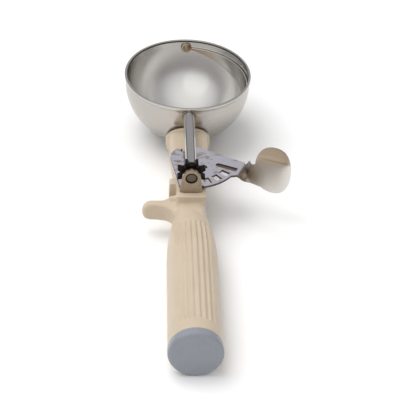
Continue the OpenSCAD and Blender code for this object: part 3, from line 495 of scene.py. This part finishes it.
# The moulding is its CAD solid with filling lumps in its steps, made one skin of small voxels and then
# smoothed, most of all round the blends
handle = {
    "merge": 0.001, "voxel": 0.42, "smoothSteps": 3, "smoothFactor": 0.5, "sharp": 180,
    # a rod that fills the hollow grip: its radius, and its ends as d
    "core": 9.6, "coreStart": 118.5, "coreEnd": 200.35, "coreSides": 96,
    "ball": 34.15, "gap": 35.0,  # the moulding stands off the bowl, out to this radius round the bowl's middle
    # where it is smoothed more, and how many times: middle and reach of each ball
    "blends": [((-8.5, -97.0, 17.5), 9.5), ((4.0, -97.0, 20.0), 6.5), ((-18.0, -91.0, 13.75), 11.0),
               ((-10.5, -90.0, 20.5), 5.5), ((0.0, -33.0, 15.0), 19.0)],
    "blendSteps": 50,
    # the squarish waist that carries the head's faces into the round nose: each section's d and top, its sides
    # and floor, and its corners, as how far they lie in from the side and from the top or the floor
    "waist": {"sections": [(92.5, 20.0), (101.0, 22.7), (107.0, 22.7)],
              "left": -7.25, "right": 7.7, "floor": 7.5,
              "topLeft": [(0, 3.2), (0.9, 1.0), (3, 0)], "topRight": [(2.6, 0), (0.8, 1.0), (0, 3.2)],
              "floorCorner": [(0, 2), (3, 0)]},
    # two hollow fillets, one upright where the finger rest runs into the waist, and the web, which lies along
    # the handle from the small shoulder to the finger rest: middle of the hollow, its radius, how much thicker
    # the lump is than that, how far in it reaches, and where it starts and ends
    "rest": {"x": -16.4, "d": 102.6, "radius": 8.6, "extra": 1.5, "inner": -4, "ends": (9.0, 18.4),
             "steps": 16},
    "web": {"x": -13.7, "z": 21.6, "radius": 2.6, "extra": 2, "inner": -7.5, "ends": (88.0, 90.8),
            "steps": 16},
}


def addWaist(mesh, item):  # one convex lump from the sections' corners
    left, right, base = item["left"], item["right"], item["floor"]
    points = []
    for d, top in item["sections"]:
        corners = [(left + a, top - b) for a, b in item["topLeft"]]
        corners += [(right - a, top - b) for a, b in item["topRight"]]
        corners += [(right - a, base + b) for a, b in item["floorCorner"]]
        corners += [(left + a, base + b) for a, b in reversed(item["floorCorner"])]
        points += [mesh.verts.new(at(x, -d, z)) for x, z in corners]
    hull = bmesh.ops.convex_hull(mesh, input=points)
    spare = [v for v in hull["geom_interior"] if isinstance(v, bmesh.types.BMVert)]
    bmesh.ops.delete(mesh, geom=spare, context="VERTS")


def addFillet(mesh, middle, item, toPlace):  # a hollow quarter round in two directions, drawn between its ends
    x, y = middle
    back = y - item["radius"] - item["extra"]
    line = arc(middle, item["radius"], -90, 0, item["steps"])
    line += [(item["inner"], y), (item["inner"], back), (x, back)]
    first, last = [[mesh.verts.new(toPlace(a, b, end)) for a, b in line] for end in item["ends"]]
    mesh.faces.new(first)
    mesh.faces.new(last[::-1])
    for k in range(len(line)):
        n = (k + 1) % len(line)
        mesh.faces.new([first[n], first[k], last[k], last[n]])


def baked(item):  # the mesh after its modifiers; the object goes
    made = bpy.data.meshes.new_from_object(item.evaluated_get(bpy.context.evaluated_depsgraph_get()))
    bpy.data.objects.remove(item)
    return made


def addSource(data):  # an object for the handle while it is being made
    item = bpy.data.objects.new("handleSource", data)
    bpy.context.scene.collection.objects.link(item)
    return item


def makeHandle():
    mesh = bmesh.new()
    mesh.from_mesh(nodes["handle"].data)
    bmesh.ops.remove_doubles(mesh, verts=mesh.verts, dist=handle["merge"] * mm)
    middle = at(0, -(handle["coreStart"] + handle["coreEnd"]) / 2, gripHeight)
    bmesh.ops.create_cone(mesh, cap_ends=True, segments=handle["coreSides"], radius1=handle["core"] * mm,
                          radius2=handle["core"] * mm, depth=(handle["coreEnd"] - handle["coreStart"]) * mm,
                          matrix=Matrix.Translation(middle) @ Matrix.Rotation(math.pi / 2, 4, "X"))
    addWaist(mesh, handle["waist"])
    rest, web = handle["rest"], handle["web"]
    addFillet(mesh, (rest["x"], rest["d"]), rest, lambda a, b, end: at(a, -b, end))
    addFillet(mesh, (web["x"], web["z"]), web, lambda a, b, end: at(a, -end, b))
    bmesh.ops.recalc_face_normals(mesh, faces=mesh.faces)
    data = bpy.data.meshes.new("handleMoulding")
    mesh.to_mesh(data)
    item = addSource(data)
    voxels = item.modifiers.new("voxels", "REMESH")
    voxels.mode, voxels.voxel_size = "VOXEL", handle["voxel"] * mm
    remade = baked(item)
    item = addSource(remade)
    group = item.vertex_groups.new(name="blend")
    ball, gap = at(0, 0, handle["ball"]), handle["gap"] * mm
    for vertex in remade.vertices:
        out = vertex.co - ball
        if out.length < gap:
            vertex.co = ball + out * (gap / out.length)
        weight = max(1 - (vertex.co - at(*place)).length / (reach * mm) for place, reach in handle["blends"])
        if weight > 0:  # full over the inner half of a ball
            group.add([vertex.index], min(1.0, 2 * weight), "REPLACE")
    # first the blends, and then all over, which is what no name means
    for name, steps in (("blend", handle["blendSteps"]), ("", handle["smoothSteps"])):
        soft = item.modifiers.new("soft", "SMOOTH")
        soft.factor, soft.iterations, soft.vertex_group = handle["smoothFactor"], steps, name
    made = baked(item)
    made.name = "handleMoulding"
    return addPiece("handle_moulding", made, [finishes["ivory"]], "root", ["handle"],
                    handle["sharp"])


makeHandle()
print("handle made")

cap = {
    "gripEnd": 200.4, "seat": 200.42,  # as d: the grip ends, and the cap's face starts
    "radius": 13.75, "thickness": 4.59, "round": 1.5, "dome": 0.4,
    # the eased edge against the grip: how far in from the side, and how far along from the seat
    "heel": [(0.9, 0), (0.25, 0), (0.06, 0.08), (0, 0.3), (0, 1.4)],
    "steps": 12, "segments": 192, "sharp": 60,
}


def makeCap():
    radius, r, steps, seat = cap["radius"], cap["round"], cap["steps"], cap["seat"]
    tip = cap["gripEnd"] + cap["thickness"] + cap["dome"]
    domeRadius = (radius ** 2 + cap["dome"] ** 2) / (2 * cap["dome"])
    flat = radius - r
    face = []
    for i in range(steps + 1):
        out = flat * (1 - i / steps)
        face.append((out, tip - out ** 2 / (2 * domeRadius)))
    profile = [(0, seat)] + [(radius - a, seat + b) for a, b in cap["heel"]] \
        + arc((flat, face[0][1] - r), r, 0, 90, steps) + face[1:]
    mesh = lathe("capFace", profile, cap["segments"], lambda x, y, z: at(x, -z, gripHeight + y))
    return addPiece("cap_face", mesh, [finishes["grey"]], "root", ["end_cap"], cap["sharp"])


makeCap()
print("cap made")

# How the stamped and turned pieces are made from their CAD solids: points closer than merge become one, and
# so do faces that are flat to each other. Edges sharper than sharp are eased, and those under smooth shade
# smoothly. Angles are degrees.
eased = {"merge": 0.002, "flat": 0.3, "sharp": 40, "smooth": 35, "steps": 2}


def easedCopy(node, name, materials, body, ease):
    mesh = bmesh.new()
    mesh.from_mesh(nodes[node].data)
    bmesh.ops.remove_doubles(mesh, verts=mesh.verts, dist=eased["merge"] * mm)
    bmesh.ops.dissolve_limit(mesh, angle_limit=math.radians(eased["flat"]), verts=mesh.verts, edges=mesh.edges)
    data = bpy.data.meshes.new(name)
    mesh.to_mesh(data)
    item = addPiece(name, data, materials, body, [node], eased["smooth"])
    bevel = item.modifiers.new("edge", "BEVEL")
    bevel.width, bevel.segments, bevel.limit_method = ease * mm, eased["steps"], "ANGLE"
    bevel.angle_limit = math.radians(eased["sharp"])
    bevel.harden_normals = True
    return item


lever = {
    "pivot": (0, -62.7), "top": 27.45, "ease": 0.14,
    "arm": -24, "tabFrom": 28.9,  # the arm's turn in degrees, and where along it the tab's finish starts
    "groove": 0.2,  # what faces up deeper than this is a groove's floor
    "up": 0.9, "sideways": 0.3,  # a face is level where its normal rises more than up, upright under sideways
}


def makeLever():
    used = ["plate", "tab", "groove", "paintedEdgeShade"]
    item = easedCopy("lever", "lever_plate", [finishes[use] for use in used], "lever",
                     lever["ease"])
    # painted shade: the eased edges all round are dark
    item.modifiers["edge"].material = used.index("paintedEdgeShade")
    turn = math.radians(lever["arm"])
    pivot = at(*lever["pivot"], 0)
    along = Vector((math.cos(turn), math.sin(turn), 0))
    for polygon in item.data.polygons:
        centre = polygon.center
        if (centre - pivot).dot(along) > lever["tabFrom"] * mm:
            polygon.material_index = used.index("tab")
        # painted reflection and shade: the groove's floor is brown
        elif polygon.normal.z > lever["up"] and centre.z < (lever["top"] - lever["groove"]) * mm:
            polygon.material_index = used.index("groove")
        # painted shade: upright faces, such as the windows' walls, are dark
        elif abs(polygon.normal.z) < lever["sideways"]:
            polygon.material_index = used.index("paintedEdgeShade")
    return item


makeLever()

bracket = {"ease": 0.25}


def makeBracket():  # its eased edges take the second finish, a painted highlight
    item = easedCopy("shaft_bracket", "bracket_plate", [finishes["bracket"], finishes["bright"]], "root",
                     bracket["ease"])
    item.modifiers["edge"].material = 1
    return item


makeBracket()

pinion = {"ease": 0.15}
easedCopy("pinion", "pinion_wheel", [finishes["pinion"]], "rotor", pinion["ease"])

shaft = {"ease": 0.15, "journal": 89}  # the darker end, painted shade, starts at this d


def makeShaft():
    item = easedCopy("drive_shaft", "shaft_bar", [finishes["shaft"], finishes["journal"]], "rotor",
                     shaft["ease"])
    for polygon in item.data.polygons:
        if polygon.center.y < at(0, -shaft["journal"], 0).y:
            polygon.material_index = 1  # the journal's finish, painted shade
    return item


makeShaft()
print("stamped and turned pieces made")

kept = {  # CAD solids that stay, and the finish of each
    "handle_shank": "fixing", "bracket_screw": "fixing", "bracket_bush": "bush", "bowl_eyelet": "fixing",
    "pinion_pin": "fixing", "thrust_washer": "brass", "blade_rivet": "rivet", "blade_washer": "fixing",
    "lever_pivot_pin": "fixing", "lever_washer": "brass", "pivot_top_washer": "fixing", "stop_pin": "fixing",
    "return_spring": "wire",
}
for name, finish in kept.items():
    nodes[name].data.materials.clear()
    nodes[name].data.materials.append(finishes[finish])
print("fixings dressed:", len(kept))

floor = {"colour": "#FAFAFA", "roughness": 0.8, "half": 3}  # half of its width, in metres


def addFloor():
    half = floor["half"]
    corners = [(-half, -half, 0), (half, -half, 0), (half, half, 0), (-half, half, 0)]
    mesh = meshFrom("floor", corners, [[0, 1, 2, 3]])
    item = bpy.data.objects.new("floor", mesh)
    bpy.context.scene.collection.objects.link(item)
    material, _, _ = newMaterial("paper_sweep_white", Base_Color=toLinear(floor["colour"]),
                                 Roughness=floor["roughness"])
    mesh.materials.append(material)


# Three round softboxes, in metres and watts. Polished metal sees only the last.
lamps = {
    "front": {"place": (-0.68, -1.47, 1.18), "size": 1.2, "power": 4, "seen": False},
    "above": {"place": (-0.6, 0.25, 1.6), "size": 1.5, "power": 18.5, "seen": False},
    "side": {"place": (-0.65, -1.4, 1.2), "size": 1.9, "power": 1.5, "seen": True},
}
lampTarget = Vector((0, 0, 0.02))


def addLamp(name, place, size, power, seen):
    data = bpy.data.lights.new(name, "AREA")
    data.shape, data.size = "DISK", size
    data.energy = power
    item = bpy.data.objects.new(name, data)
    bpy.context.scene.collection.objects.link(item)
    item.location = Vector(place)
    item.rotation_euler = (lampTarget - Vector(place)).to_track_quat("-Z", "Y").to_euler()
    item.visible_glossy = seen


# Plain surfaces get their light from a pale sky, and polished metal sees a painted room: brightest towards a
# high panel at the front left, with dark walls low down and a warm tone low at the front
room = {
    "sky": (0.3, 0.78),  # from the horizon to overhead
    "panel": (-0.2, -0.6, 1.0), "panelReach": (0.6, 1.1), "dim": "#C0BFC2", "bright": "#FFFFFF",
    # how far up a ray points where each tone starts and is full, and for the low front also how far along y
    "wall": "#4E4A48", "wallFade": (0.28, 0.08),
    "horizon": "#A58F74", "horizonFade": (0.3, 0.05), "frontFade": (0.05, -0.45),
}


def setWorld():
    world = bpy.data.worlds.new("studio")
    bpy.context.scene.world = world
    world.use_nodes = True
    tree = world.node_tree
    tree.nodes.clear()
    path = addNode(tree, "ShaderNodeLightPath").outputs
    aim = addNode(tree, "ShaderNodeTexCoord").outputs["Generated"]
    parts = addNode(tree, "ShaderNodeSeparateXYZ", {"Vector": aim}).outputs
    towards = addNode(tree, "ShaderNodeVectorMath", {0: aim, 1: room["panel"]}, operation="DOT_PRODUCT")
    panel, wall, horizon, front = [
        addNode(tree, "ShaderNodeMapRange", {"Value": value, "From Min": start, "From Max": end},
                interpolation_type=kind).outputs["Result"]
        for value, (start, end), kind in ((towards.outputs["Value"], room["panelReach"], "LINEAR"),
                                          (parts["Z"], room["wallFade"], "SMOOTHSTEP"),
                                          (parts["Z"], room["horizonFade"], "SMOOTHSTEP"),
                                          (parts["Y"], room["frontFade"], "SMOOTHSTEP"))]
    lowFront = addNode(tree, "ShaderNodeMath", {0: horizon, 1: front}, operation="MULTIPLY").outputs[0]
    inRoom = toLinear(room["dim"])
    for share, code in ((panel, room["bright"]), (wall, room["wall"]), (lowFront, room["horizon"])):
        inRoom = addNode(tree, "ShaderNodeMix", {0: share, 6: inRoom, 7: toLinear(code)},
                         data_type="RGBA").outputs[2]
    glossy = addNode(tree, "ShaderNodeMath", {0: path["Is Glossy Ray"], 1: path["Is Transmission Ray"]},
                     operation="MAXIMUM")
    sky = addNode(tree, "ShaderNodeMapRange", {"Value": parts["Z"], "To Min": room["sky"][0],
                  "To Max": room["sky"][1]})
    plain = addNode(tree, "ShaderNodeMix", {"Factor": path["Is Camera Ray"], "A": sky.outputs["Result"],
                    "B": 1.0})
    level = addNode(tree, "ShaderNodeMix", {0: glossy.outputs[0], 6: plain.outputs["Result"], 7: inRoom},
                    data_type="RGBA")
    out = addNode(tree, "ShaderNodeOutputWorld")
    addNode(tree, "ShaderNodeBackground", {"Color": level.outputs[2], "Strength": 1.0},
            to=out.inputs["Surface"])


addFloor()
for name, lamp in lamps.items():
    addLamp(name + "_softbox", **lamp)
setWorld()
bpy.context.scene.view_settings.view_transform = "Standard"
print("studio set")
